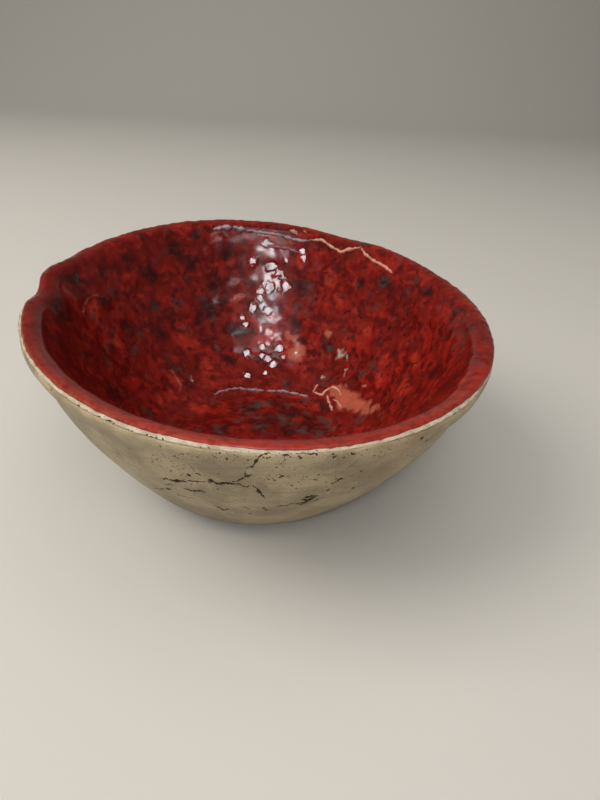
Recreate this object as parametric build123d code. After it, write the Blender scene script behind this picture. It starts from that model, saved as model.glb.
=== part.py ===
from build123d import *
import math
import os

# Hand-built stoneware bowl: a round floor slab, a wall of clay luted on top of it,
# a pale burnished slip outside and a thick red glaze inside.
# Millimetres, +Z up. The origin is the centre of the flat underside, and the
# side that the photograph looks at faces -Y.

# Driving sizes of the clay
rim_radius = 100.0
rim_height = 80.0
base_radius = 50.0
slab_thickness = 8.6
lip_width = 8.0
floor_radius = 41.0
coil_height = 2.4
coil_width = 5.0
luting_thickness = 0.4

# Thin coats over the clay
glaze_thickness = 0.8
coat_thickness = 0.35
rim_slip_thickness = 0.6
foot_line = 1.6

# How deep a coat's hidden side runs inside the wall, and how far tools overrun
bury_depth = 1.2
overrun = 2.0

# The lip's hand-made outline, one pair for each sixteenth of a turn from +X:
# share of rim_radius, share of rim_height
lip_shares = [
    (0.980, 0.985),
    (0.970, 1.005),
    (0.975, 1.035),
    (1.005, 1.050),
    (1.035, 1.070),
    (1.045, 1.075),
    (1.030, 1.055),
    (1.000, 1.030),
    (0.990, 0.985),
    (0.965, 0.960),
    (0.970, 0.950),
    (1.000, 0.945),
    (1.035, 0.945),
    (1.045, 0.945),
    (1.015, 0.935),
    (1.000, 0.955),
]

# Small lobes and dips pinched into the lip: azimuth in degrees, half width in
# degrees, share of lip_width by which the lip rises, share by which it leans out
lip_pinches = [
    (167.0, 5.5, 0.10, 0.30),
    (175.0, 6.0, -0.15, -0.32),
    (62.0, 9.0, -0.10, -0.20),
    (318.0, 10.0, -0.10, 0.05),
    (205.0, 9.0, -0.06, 0.04),
]

# The outside of the wall, from the foot to just under the lip:
# share of the way out from base_radius to the rim, share of the rim's height
outer_shares = [
    (0.090, 0.025),
    (0.240, 0.120),
    (0.400, 0.255),
    (0.655, 0.500),
    (0.850, 0.745),
    (0.930, 0.870),
]

# The inside of the wall, from just under the lip to the coil at the floor:
# share of the way out from the coil to the lip's inner edge, share of the way up
inner_shares = [
    (0.940, 0.900),
    (0.800, 0.700),
    (0.560, 0.420),
    (0.300, 0.170),
    (0.110, 0.045),
]

# The lip's own section: share of lip_width inwards from the outer edge,
# share of lip_width below the top
lip_section_shares = [
    (0.030, 0.560),
    (0.005, 0.270),
    (0.060, 0.070),
    (0.240, 0.000),
    (0.480, 0.000),
    (0.730, 0.050),
    (0.930, 0.180),
    (1.060, 0.420),
]

# The coil pressed into the corner of the floor: share of coil_width inwards
# from its outer edge, share of coil_height above the floor
coil_section_shares = [
    (0.300, 0.900),
    (0.720, 0.700),
    (0.930, 0.330),
]

# How far each coat reaches, counted in stations along the section from the foot
stations_outside = 1 + len(outer_shares)
coat_last_station = stations_outside + 1
rim_slip_first_station = stations_outside + 1
rim_slip_last_station = stations_outside + 2
glaze_first_station = stations_outside + 3

# Points on each ring round the bowl
ring_points = 72


def eased(values, turn):
    """The values given once round a full turn, blended smoothly at any share of it."""
    count = len(values)
    place = turn % 1.0 * count
    index = int(place)
    part = place - index
    before, start, end, after = (values[(index + step) % count] for step in (-1, 0, 1, 2))
    rise = (end - before) / 2
    fall = (after - start) / 2
    return (
        start
        + rise * part
        + (3 * (end - start) - 2 * rise - fall) * part**2
        + (2 * (start - end) + rise + fall) * part**3
    )


def pinched(turn, column):
    """What the lip's small lobes and dips add at a share of the turn."""
    total = 0.0
    for pinch in lip_pinches:
        away = (turn * 360.0 - pinch[0] + 180.0) % 360.0 - 180.0
        total += pinch[column] * math.exp(-((away / pinch[1]) ** 2))
    return total * lip_width


def lip_edge(turn, pinch_share):
    """Radius and height of the lip's outer edge at a share of the turn, with its
    pinches felt by pinch_share: in full at the lip itself, less down the wall."""
    radius = rim_radius * eased([share[0] for share in lip_shares], turn)
    height = rim_height * eased([share[1] for share in lip_shares], turn)
    return radius + pinch_share * pinched(turn, 3), height + pinch_share * pinched(turn, 2)


def clay_section(turn):
    """The clay's section at a share of the turn: radius and height, from the foot
    up the outside, over the lip and down the inside to the floor."""
    coil_radius = floor_radius + coil_width
    coil_top = slab_thickness + coil_height
    places = [(base_radius, 0.0)]
    for out, up in outer_shares:
        lip_radius, lip_top = lip_edge(turn, up**3)
        places.append((base_radius + out * (lip_radius - base_radius), up * lip_top))
    lip_radius, lip_top = lip_edge(turn, 1)
    for inward, down in lip_section_shares:
        places.append((lip_radius - inward * lip_width, lip_top - down * lip_width))
    for out, up in inner_shares:
        lip_radius, lip_top = lip_edge(turn, up**3)
        span = lip_radius - lip_width - coil_radius
        places.append((coil_radius + out * span, coil_top + up * (lip_top - coil_top)))
    for inward, up in coil_section_shares:
        places.append((coil_radius - inward * coil_width, slab_thickness + up * coil_height))
    places.append((floor_radius, slab_thickness))
    return places


def outward(places, index):
    """Unit normal of the section at a station, pointing out of the clay."""
    ahead = places[min(index + 1, len(places) - 1)]
    behind = places[max(index - 1, 0)]
    run = (ahead[0] - behind[0], ahead[1] - behind[1])
    length = math.hypot(*run)
    return run[1] / length, -run[0] / length


def raised_section(turn, thickness, first, last):
    """The clay's section, lifted by thickness from station first to station last
    and sunk into the clay elsewhere, in two steps."""
    places = clay_section(turn)
    raised = []
    for index, (radius, height) in enumerate(places):
        if first <= index <= last:
            lift = thickness
        elif first - 1 <= index <= last + 1:
            lift = -bury_depth / 2
        else:
            lift = -bury_depth
        normal = outward(places, index)
        raised.append((radius + lift * normal[0], height + lift * normal[1]))
    return raised


def ring(places):
    """A closed smooth loop through points given evenly round the turn."""
    points = []
    for step, (radius, height) in enumerate(places):
        angle = math.tau * step / len(places)
        points.append((radius * math.cos(angle), radius * math.sin(angle), height))
    return Wire([Edge.make_spline(points, periodic=True)])


def section_loft(section_at):
    """A solid whose section at each share of the turn is section_at(share)."""
    sections = [section_at(step / ring_points) for step in range(ring_points)]
    return Solid.make_loft([ring(places) for places in zip(*sections)])


def slice_between(low, high):
    """A block that takes in everything between two heights."""
    side = 4 * rim_radius
    return Pos(0, 0, (low + high) / 2) * Box(side, side, high - low)


def make_clay():
    """The whole clay form, before it is parted into slab, coil, luting and wall."""
    return section_loft(clay_section)


def make_glaze_blank():
    """The glaze's surface inside, with the rest sunk in the clay."""
    last = len(clay_section(0)) - 1

    def section_at(turn):
        places = raised_section(turn, glaze_thickness, glaze_first_station, last)
        places[0] = (base_radius - bury_depth, bury_depth)
        places[-1] = (floor_radius - glaze_thickness, slab_thickness + glaze_thickness)
        return places

    return section_loft(section_at)


def make_coat_blank():
    """The burnished slip's surface outside, with the rest sunk in the clay."""

    def section_at(turn):
        places = raised_section(turn, coat_thickness, 1, coat_last_station)
        places[0] = (base_radius + coat_thickness, 0.0)
        places[-1] = (floor_radius - overrun, slab_thickness - bury_depth)
        return places

    return section_loft(section_at)


def make_rim_slip_blank():
    """The bead of slip along the lip's outer edge, with the rest sunk in the clay."""

    def section_at(turn):
        places = raised_section(
            turn, rim_slip_thickness, rim_slip_first_station, rim_slip_last_station
        )
        places[0] = (base_radius - bury_depth, bury_depth)
        places[-1] = (floor_radius - overrun, slab_thickness - bury_depth / 2)
        return places

    return section_loft(section_at)


def make_corner_tool():
    """A cone that parts the corner coil from the wall that it is pressed against."""
    low_radius = floor_radius + coil_width
    flare = coil_height + overrun
    return Pos(0, 0, slab_thickness + flare / 2) * Cone(low_radius, low_radius + flare, flare)


def main():
    clay = make_clay()
    glaze_blank = make_glaze_blank()
    coat_blank = make_coat_blank()
    rim_slip_blank = make_rim_slip_blank()
    corner = make_corner_tool()

    ceiling = 2 * rim_height
    slab = clay & slice_between(-overrun, slab_thickness)
    raised_clay = clay & slice_between(slab_thickness, ceiling)
    corner_coil = raised_clay & corner
    standing = raised_clay - corner
    luting_slip = standing & slice_between(
        slab_thickness, slab_thickness + luting_thickness
    )
    wall = standing & slice_between(slab_thickness + luting_thickness, ceiling)

    rim_slip = rim_slip_blank - clay
    sigillata_coat = (coat_blank - clay - rim_slip_blank) & slice_between(foot_line, ceiling)
    glaze_lining = glaze_blank - clay - rim_slip_blank - coat_blank

    parts = {
        "base_slab": slab,
        "luting_slip": luting_slip,
        "corner_coil": corner_coil,
        "wall": wall,
        "sigillata_coat": sigillata_coat,
        "rim_slip": rim_slip,
        "glaze_lining": glaze_lining,
    }
    os.makedirs("parts", exist_ok=True)
    for name, shape in parts.items():
        export_step(shape, f"parts/{name}.step")


main()
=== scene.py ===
import math

import bmesh
import bpy
import numpy as np
from mathutils import Matrix, Vector
from mathutils.bvhtree import BVHTree
from mathutils.kdtree import KDTree


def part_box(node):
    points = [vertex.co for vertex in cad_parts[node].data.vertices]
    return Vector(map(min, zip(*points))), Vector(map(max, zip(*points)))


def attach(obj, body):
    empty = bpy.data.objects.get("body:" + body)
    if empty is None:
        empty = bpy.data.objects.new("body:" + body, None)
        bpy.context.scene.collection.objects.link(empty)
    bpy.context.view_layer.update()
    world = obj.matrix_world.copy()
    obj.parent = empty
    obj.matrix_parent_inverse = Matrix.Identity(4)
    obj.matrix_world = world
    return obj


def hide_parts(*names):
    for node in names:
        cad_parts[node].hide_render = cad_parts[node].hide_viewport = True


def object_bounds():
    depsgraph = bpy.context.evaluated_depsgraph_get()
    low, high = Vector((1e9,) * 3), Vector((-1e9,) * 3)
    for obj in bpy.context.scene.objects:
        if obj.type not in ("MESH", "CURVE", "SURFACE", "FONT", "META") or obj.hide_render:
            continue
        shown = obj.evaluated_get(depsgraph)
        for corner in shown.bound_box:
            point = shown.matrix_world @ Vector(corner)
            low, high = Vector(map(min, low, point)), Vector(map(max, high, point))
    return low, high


# A hand-built bowl: pale cracked slip outside, a cream band on the lip and a thick
# red glaze inside. Metres, +Z up, as the CAD frame has it.

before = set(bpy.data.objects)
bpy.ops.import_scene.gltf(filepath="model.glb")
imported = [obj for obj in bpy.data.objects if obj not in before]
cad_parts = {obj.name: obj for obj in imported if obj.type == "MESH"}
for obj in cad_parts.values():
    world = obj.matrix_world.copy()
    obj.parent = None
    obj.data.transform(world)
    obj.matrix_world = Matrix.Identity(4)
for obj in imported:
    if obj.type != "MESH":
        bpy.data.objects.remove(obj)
cad_low, cad_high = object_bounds()

MM = 0.001

# The camera, as fitted to the lip's outline in the 600 by 800 frame
IMAGE_CENTRE_PX = (300, 400)
FOCAL_PX = 600
IMAGE_LONG_SIDE_PX = 800
SENSOR_MM = 36.0
CAMERA_PLACE = Vector((0.0, -244.8, 182.1)) * MM
CAMERA_PITCH = math.radians(31.83)
CAMERA_YAW = math.radians(4.69)
CAMERA_ROLL = math.radians(3.61)

# The lamp that the glaze mirrors
WINDOW_PLACE = Vector((-0.20, -0.95, 0.80))

# Coats over the clay, and how far a slip runs on under the next coat
COAT_THICKNESS = 0.35 * MM
GLAZE_THICKNESS = 0.8 * MM
COAT_OVERLAP = 0.5 * MM
BAND_OVERLAP = 0.6 * MM

# The sides that nobody sees, the coat's under side and the wall's face: how much deeper
# they lie than the coat over them is thick, and how much wider than the damage they are
# carved
COAT_SINK = 0.25 * MM
COAT_SPARE = 3 * MM
WALL_SINK = 0.3 * MM
WALL_SPARE = 3.2 * MM
WALL_SINK_INSIDE = 0.05 * MM

# A coat's under side is plain: its rows, and how many times wider its points are spaced
UNDER_ROWS = 14
UNDER_SPACING = 4

# How the finished surface is read: section lines round the turn, the rays cast at each
# stretch of a line, and the rows that the stretch is evened to
SECTION_LINES = 360
RAYS_OUTSIDE = 90
RAYS_LIP = 33
RAYS_INSIDE = 70
RAYS_FLOOR = 60
ROWS_OUTSIDE = 120
ROWS_LIP = 40
ROWS_INSIDE = 100
ROWS_FLOOR = 70

# The lip is read round a point this far below its top, and the floor from above, from
# where the inside comes down to this height
LIP_DEPTH = 4.2 * MM
FLOOR_TURN_HEIGHT = 18 * MM

# How many places round the turn give a ring its mean radius
MEASURED_TURNS = 72

# The cream band round the lip: azimuth in degrees, first and last edge in mm past the
# start of the lip
BAND_EDGES = [
    (0, 1.60, 1.85), (20, 2.40, 2.75), (60, 3.00, 3.50), (120, 3.00, 3.50), (145, 2.60, 3.00),
    (162, 1.30, 1.60), (177, 1.30, 1.60), (186, 3.00, 3.35), (200, 3.10, 3.60), (212, 3.05, 3.70),
    (225, 3.00, 3.70), (240, 2.90, 3.95), (250, 2.85, 4.10), (260, 3.05, 4.10), (270, 3.15, 4.08),
    (280, 3.20, 4.00), (290, 3.25, 3.92), (297, 3.15, 4.08), (310, 2.90, 4.10), (316, 2.90, 3.90),
    (323, 3.05, 3.35), (330, 1.90, 2.15), (345, 1.40, 1.65),
]

# Cracks in the outer slip: points in pixels of the photograph, width and depth in mm
CRACKS_PX = [
    ([(270, 452), (264, 454), (259, 457), (256, 462), (252, 467)], 0.46, 0.45),
    ([(252, 467), (247, 468), (245, 471), (245, 474), (247, 476), (253, 475)], 0.40, 0.3),
    ([(247, 476), (241, 479), (237, 481), (232, 482)], 0.50, 0.4),
    ([(159, 478), (164, 479), (169, 480)], 0.42, 0.3),
    ([(168, 480), (175, 481), (181, 481), (186, 481)], 1.15, 0.8),
    ([(186, 481), (192, 481), (198, 482), (206, 482), (213, 482)], 0.72, 0.5),
    ([(213, 482), (218, 484), (227, 483), (235, 484), (239, 484), (245, 487)], 0.85, 0.6),
    ([(245, 487), (253, 486), (259, 491), (262, 495), (266, 499)], 0.45, 0.4),
    ([(258, 490), (261, 493)], 0.95, 0.6),
    ([(214, 505), (219, 507), (224, 510), (230, 509)], 0.50, 0.4),
    ([(241, 508), (245, 507), (251, 510)], 0.40, 0.3),
    ([(236, 513), (243, 513)], 0.30, 0.3),
    ([(262, 508), (265, 509), (268, 511)], 0.95, 0.6),
    ([(276, 507), (282, 506), (288, 505)], 0.80, 0.5),
    ([(288, 505), (294, 503), (302, 503)], 0.55, 0.45),
    ([(303, 504), (308, 503), (313, 501), (320, 498)], 0.40, 0.35),
    ([(310, 498), (314, 495), (318, 496)], 0.45, 0.4),
    ([(152, 488), (161, 489), (167, 489), (172, 489)], 0.50, 0.35),
    ([(164, 486), (169, 484), (174, 485)], 0.35, 0.25),
    ([(184, 489), (193, 491), (200, 491), (207, 493)], 0.55, 0.4),
    ([(176, 494), (186, 497), (193, 498)], 0.42, 0.3),
    ([(192, 467), (195, 473), (198, 474), (207, 476)], 0.26, 0.2),
    ([(172, 456), (176, 457), (180, 459)], 0.28, 0.2),
    ([(281, 454), (285, 455), (290, 456)], 0.40, 0.3),
    ([(305, 453), (311, 454), (318, 454)], 0.35, 0.3),
    ([(333, 459), (337, 456)], 0.40, 0.3),
    ([(331, 484), (338, 480), (345, 478)], 0.30, 0.2),
    ([(346, 470), (352, 465), (358, 461)], 0.26, 0.2),
    ([(374, 462), (381, 458), (387, 453)], 0.26, 0.2),
    ([(246, 499), (239, 500)], 0.26, 0.2),
    ([(106, 420), (109, 421), (112, 421)], 0.60, 0.6),
]

# The gouge low on the front and lone pits: pixel, radius and depth in mm
PITS_PX = [
    (302, 504, 0.9, 0.6), (305, 502, 1.2, 0.9), (304, 499, 0.9, 0.8), (308, 500, 1.4, 1.0),
    (308, 497, 1.1, 0.9), (312, 498, 1.1, 0.9), (312, 496, 0.9, 0.7), (316, 496, 0.6, 0.5),
    (211, 481, 0.95, 0.6), (189, 475, 0.8, 0.4), (223, 510, 0.95, 0.5), (250, 514, 0.7, 0.4),
    (266, 510, 0.8, 0.5), (252, 467, 0.7, 0.4), (247, 476, 0.75, 0.4), (282, 476, 0.6, 0.4),
    (168, 489, 0.85, 0.4), (195, 491, 0.75, 0.4), (341, 479, 0.6, 0.4), (328, 490, 0.55, 0.3),
    (353, 488, 0.6, 0.3), (427, 441, 1.0, 0.5), (422, 438, 0.6, 0.4), (385, 481, 0.5, 0.3),
]

# Clusters of small pits: pixel of the middle, half sizes in pixels, how many
PIT_CLUSTERS_PX = [
    ((288, 473), (26, 12), 105), ((180, 465), (20, 12), 50), ((245, 507), (42, 8), 45),
    ((342, 478), (28, 12), 45), ((150, 458), (26, 14), 28), ((400, 454), (22, 12), 30),
    ((230, 464), (60, 10), 50), ((270, 456), (120, 3), 60), ((320, 492), (30, 10), 28),
    ((368, 452), (50, 5), 35), ((214, 487), (40, 12), 28), ((425, 441), (9, 4), 14),
    ((36, 352), (3, 18), 16), ((54, 384), (5, 8), 10),
]

# Pits and cracks over the sides and back, where the photograph doesn't reach
UNSEEN_PITS = 150
UNSEEN_CRACKS = 20
UNSEEN_CLUSTERS = 14

# How much less finely the mesh follows a pit than a crack, and how far above the foot's
# edge the damage begins
PIT_SLACK = 0.30 * MM
DAMAGE_START = 3 * MM

# A chip in the slip beside the lip's crack: pixel, radius in mm
CHIP_PX = ((249, 471), 1.7)

# A faint pink blush under the right of the lip: pixel, radius in mm
BLUSH_PX = ((404, 450), 16)

# The foot's side above its worn edge: height, and how far it draws in, in mm
FOOT_SIDE = [(0.35, 0.10), (0.7, 0.0), (1.1, 0.0), (1.5, 0.0), (1.9, 0.6), (2.5, 1.2), (5.0, 1.4)]

# Raised lines in the glaze: points in pixels, half width and height in mm, how far they
# turn peach, and how strong a pale grey painted highlight along them is
GLAZE_RIDGES_PX = [
    ([(214, 229), (225, 227), (234, 227), (246, 230)], 0.85, 0.60, 0.0, 0.85),
    ([(246, 230), (266, 233), (280, 235), (293, 239), (302, 241), (312, 240)], 0.60, 0.50, 0.1, 0.70),
    ([(312, 240), (322, 240), (332, 247), (341, 252), (350, 249), (361, 247)], 0.6, 0.45, 1.0, 0.0),
    ([(361, 247), (365, 254), (373, 260), (384, 266), (393, 273)], 0.6, 0.45, 1.0, 0.0),
    ([(214, 395), (222, 391), (231, 389), (240, 388), (252, 390), (265, 391)], 0.5, 0.75, 0.0, 0.65),
    ([(265, 391), (284, 391), (291, 393), (300, 395), (308, 396)], 0.5, 0.75, 0.0, 0.75),
    ([(313, 392), (322, 395), (327, 390), (333, 387), (339, 390), (342, 396)], 0.5, 0.30, 0.9, 0.0),
    ([(318, 384), (315, 388), (313, 392)], 0.45, 0.25, 0.8, 0.0),
    ([(327, 396), (329, 402), (332, 410)], 0.6, 0.3, 0.9, 0.0),
    ([(344, 378), (345, 373), (347, 368)], 0.6, 0.25, 0.6, 0.0),
    ([(333, 399), (338, 402), (341, 407)], 0.4, 0.2, 0.6, 0.0),
    ([(268, 246), (280, 247), (290, 249), (300, 253)], 0.5, 0.3, 0.1, 0.3),
    ([(84, 318), (84, 308), (88, 299), (97, 295), (104, 297)], 0.6, 0.3, 0.12, 0.0),
    ([(290, 231), (293, 231), (296, 231)], 0.8, 0.4, 0.7, 0.0),
    ([(303, 231), (307, 232)], 0.6, 0.2, 0.4, 0.0),
    ([(321, 377), (325, 377)], 0.7, 0.25, 0.7, 0.0),
    ([(362, 386), (366, 386)], 0.6, 0.2, 0.35, 0.0),
    ([(167, 372), (171, 370), (176, 377), (181, 386), (179, 393)], 0.6, 0.3, 0.15, 0.0),
]

# Round swellings in the glaze: pixel, radius in mm
GLAZE_SWELLINGS_PX = [
    (93, 309, 6.0), (183, 339, 4.6), (144, 298, 4.0), (174, 380, 4.0), (208, 366, 5.0),
    (190, 345, 4.2), (128, 280, 4.5), (270, 335, 6.5), (290, 350, 6.0), (385, 361, 5.0),
    (345, 397, 5.0), (357, 405, 5.5), (328, 335, 2.6), (415, 360, 4.2), (466, 380, 3.6),
    (120, 345, 4.4), (238, 300, 4.0), (340, 300, 5.0), (330, 280, 4.5), (430, 398, 3.0),
    (160, 400, 4.0), (366, 330, 4.4), (300, 262, 4.0), (402, 390, 7.0), (380, 378, 5.0),
    (200, 408, 6.0), (172, 396, 4.0),
]

# Small flats in the glaze that mirror the lamp: pixel, half width in mm
GLINTS_PX = [
    (266, 243, 1.8), (302, 252, 1.7), (303, 258, 1.5), (253, 261, 1.7), (286, 260, 1.0),
    (272, 267, 2.2), (279, 275, 2.5), (285, 286, 2.4), (276, 284, 2.5), (268, 287, 2.1),
    (261, 291, 1.9), (260, 298, 1.7), (254, 308, 1.9), (268, 311, 1.7), (269, 319, 0.9),
    (243, 318, 1.2), (246, 324, 1.3), (247, 353, 1.8), (263, 347, 1.5), (279, 348, 1.9),
    (262, 356, 1.4), (268, 359, 1.8), (273, 364, 1.7), (283, 357, 1.1), (265, 373, 1.1),
    (247, 376, 1.9),
]

# A flat is slightly domed, which softens the edge of its highlight. It stands a little
# proud, is let in no deeper than this, and fades out between two shares of its half width.
GLINT_DOME_RADIUS = 75 * MM
GLINT_RISE = 0.1 * MM
GLINT_DEPTH = 0.55 * MM
GLINT_FADE = (0.85, 1.6)

# The column of the wall that the flats stand in, where the glaze is smoother
GLINT_COLUMN_PX = [(270, 243), (268, 262), (272, 282), (264, 302), (256, 322), (262, 344), (264, 366)]

# Colours that lie over the glaze: pixel, radius in mm
PALE_PATCH_PX = [
    (343, 396, 5.0), (352, 400, 5.4), (358, 405, 5.4), (366, 409, 4.2), (346, 406, 4.4),
    (375, 409, 2.6), (336, 391, 3.0), (328, 334, 2.8), (292, 336, 3.6), (296, 352, 5.0),
]
GREEN_SPOT_PX = [
    (341, 353, 1.7), (343, 356, 1.9), (338, 357, 1.4), (348, 357, 1.3), (189, 377, 1.3),
    (335, 357, 1.1),
]
BLOTCHES_PX = [
    (244, 336, 5.0), (299, 307, 3.6), (306, 287, 4.0), (385, 282, 4.6), (399, 313, 2.4),
    (343, 316, 2.2), (272, 414, 3.2), (307, 413, 3.6), (318, 430, 4.2), (331, 349, 3.0),
    (218, 429, 4.4), (186, 331, 3.0), (76, 279, 2.4), (155, 306, 4.0), (287, 386, 2.0),
    (151, 413, 3.4), (238, 410, 3.4), (245, 313, 3.0), (382, 416, 2.6), (366, 441, 2.0),
    (229, 443, 1.6), (279, 444, 1.8), (457, 312, 2.6), (463, 323, 1.8), (139, 331, 2.4),
    (255, 405, 5.0), (268, 404, 4.0), (285, 420, 6.0), (300, 430, 5.0), (262, 428, 4.5),
    (322, 420, 5.0), (312, 436, 4.0), (240, 420, 4.0), (290, 404, 4.0), (310, 404, 4.0),
]
# Dark places: partly dark clots in the glaze, partly painted shade where the inside lies in shadow, as
# on its left wall
DARK_CLOTS_AND_SHADE_PX = [
    (250, 408, 7.0), (270, 418, 7.0), (292, 412, 8.0), (312, 418, 7.0), (324, 406, 4.0),
    (278, 403, 6.0), (226, 251, 5.5), (209, 308, 6.5), (230, 362, 5.5), (305, 288, 5.5),
    (297, 324, 4.5), (385, 284, 6.0), (407, 293, 3.5), (429, 291, 3.5), (360, 282, 4.0),
    (174, 248, 6.0), (192, 263, 5.0), (128, 258, 4.0), (76, 282, 9.5), (60, 310, 10.0),
    (64, 350, 9.0), (88, 354, 3.5), (111, 392, 7.0), (127, 327, 5.0), (155, 304, 4.5),
    (161, 333, 4.5), (174, 320, 5.0), (188, 388, 3.5), (151, 413, 4.5), (188, 401, 2.6),
    (224, 428, 5.0), (238, 330, 6.0), (262, 306, 4.0), (338, 264, 4.0), (342, 295, 3.0),
    (359, 312, 2.6), (392, 328, 3.0), (392, 356, 2.4), (434, 373, 3.6), (426, 404, 5.0),
    (449, 383, 5.0), (353, 364, 3.0), (448, 336, 3.0), (457, 312, 3.6), (104, 270, 4.0),
    (240, 270, 4.5), (272, 292, 4.0), (330, 349, 4.0), (286, 386, 3.0), (196, 236, 4.0),
    (220, 300, 6.0), (230, 330, 5.0), (290, 428, 9.0), (262, 424, 8.0), (312, 426, 8.0),
    (150, 275, 6.0), (215, 282, 6.0), (105, 300, 5.0), (200, 318, 5.0), (45, 330, 6.0),
]


# Large primes that scatter the noise's cells and its slope along each axis
CELL_PRIMES = (73856093, 19349663, 83492791)
SLOPE_PRIMES = (2246822519, 3266489917, 668265263)


def noise(points, size, seed):
    """Smooth random heights, about -1 to 1, with bumps as large as size."""
    grid = points / size
    cell = np.floor(grid).astype(np.int64)
    part = grid - cell
    fade = part**3 * (part * (part * 6 - 15) + 10)
    total = np.zeros(len(grid))
    for corner in np.ndindex(2, 2, 2):
        place = (cell + corner).astype(np.uint32)
        mixed = np.uint32(seed * 9781 + 7)
        for axis, prime in enumerate(CELL_PRIMES):
            mixed = mixed ^ (place[:, axis] * np.uint32(prime))
        slope = []
        for prime in SLOPE_PRIMES:
            scattered = (mixed ^ (mixed >> np.uint32(15))) * np.uint32(prime)
            scattered = scattered ^ (scattered >> np.uint32(13))
            slope.append((scattered & np.uint32(0xFFFF)) / 32767.5 - 1)
        away = part - np.array(corner)
        height = sum(slope[axis] * away[:, axis] for axis in range(3))
        weight = np.prod(np.where(np.array(corner) == 1, fade, 1 - fade), axis=1)
        total += height * weight
    return total * 1.4


def smooth_step(values, low, high):
    """0 below low, 1 above high, smooth between."""
    share = np.clip((values - low) / (high - low), 0, 1)
    return share * share * (3 - 2 * share)


def bumps(points, *kinds):
    """A sum of noises in mm: each kind is a height in mm, a size in mm and a seed."""
    return sum(height * noise(points, size * MM, seed) for height, size, seed in kinds)


def bell(values, middle, half_width):
    """1 at the middle, falling smoothly to either side."""
    return np.exp(-(((values - middle) / half_width) ** 2))


def distances_from(middle, places):
    """How far each place is from the middle."""
    return np.linalg.norm(places - middle, axis=1)


def round_axis(radius, angles, height):
    """Places at a radius, an angle round the turn and a height."""
    return np.stack([radius * np.cos(angles), radius * np.sin(angles), height], axis=1)


def turns(counts):
    """Angles evenly round the turn, for each count of points in a row."""
    return np.concatenate([np.arange(count) / count for count in counts]) * math.tau


def tree_of(places):
    """A tree to find the nearest of some places in."""
    tree = KDTree(len(places))
    for index, place in enumerate(places):
        tree.insert(place, index)
    tree.balance()
    return tree


def camera_axes():
    """The camera's right, up and forward directions."""
    forward = Vector((
        math.sin(CAMERA_YAW) * math.cos(CAMERA_PITCH),
        math.cos(CAMERA_YAW) * math.cos(CAMERA_PITCH),
        -math.sin(CAMERA_PITCH),
    ))
    level = Vector((math.cos(CAMERA_YAW), -math.sin(CAMERA_YAW), 0))
    raised = level.cross(forward)
    right = level * math.cos(CAMERA_ROLL) + raised * math.sin(CAMERA_ROLL)
    up = raised * math.cos(CAMERA_ROLL) - level * math.sin(CAMERA_ROLL)
    return right, up, forward


def joined_tree(names):
    """One tree to cast rays at, over several CAD nodes."""
    corners, polygons = [], []
    for name in names:
        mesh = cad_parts[name].data
        start = len(corners)
        corners += [corner.co.copy() for corner in mesh.vertices]
        polygons += [[start + index for index in polygon.vertices] for polygon in mesh.polygons]
    return BVHTree.FromPolygons(corners, polygons)


finished = joined_tree(["base_slab", "sigillata_coat", "rim_slip", "glaze_lining"])


def seen_at(pixel):
    """The place on the bowl that the camera sees at a pixel of the photograph."""
    right, up, forward = camera_axes()
    sideways = (pixel[0] - IMAGE_CENTRE_PX[0]) / FOCAL_PX
    upwards = (IMAGE_CENTRE_PX[1] - pixel[1]) / FOCAL_PX
    hit = finished.ray_cast(CAMERA_PLACE, forward + right * sideways + up * upwards)[0]
    return None if hit is None else np.array(hit)


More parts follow.
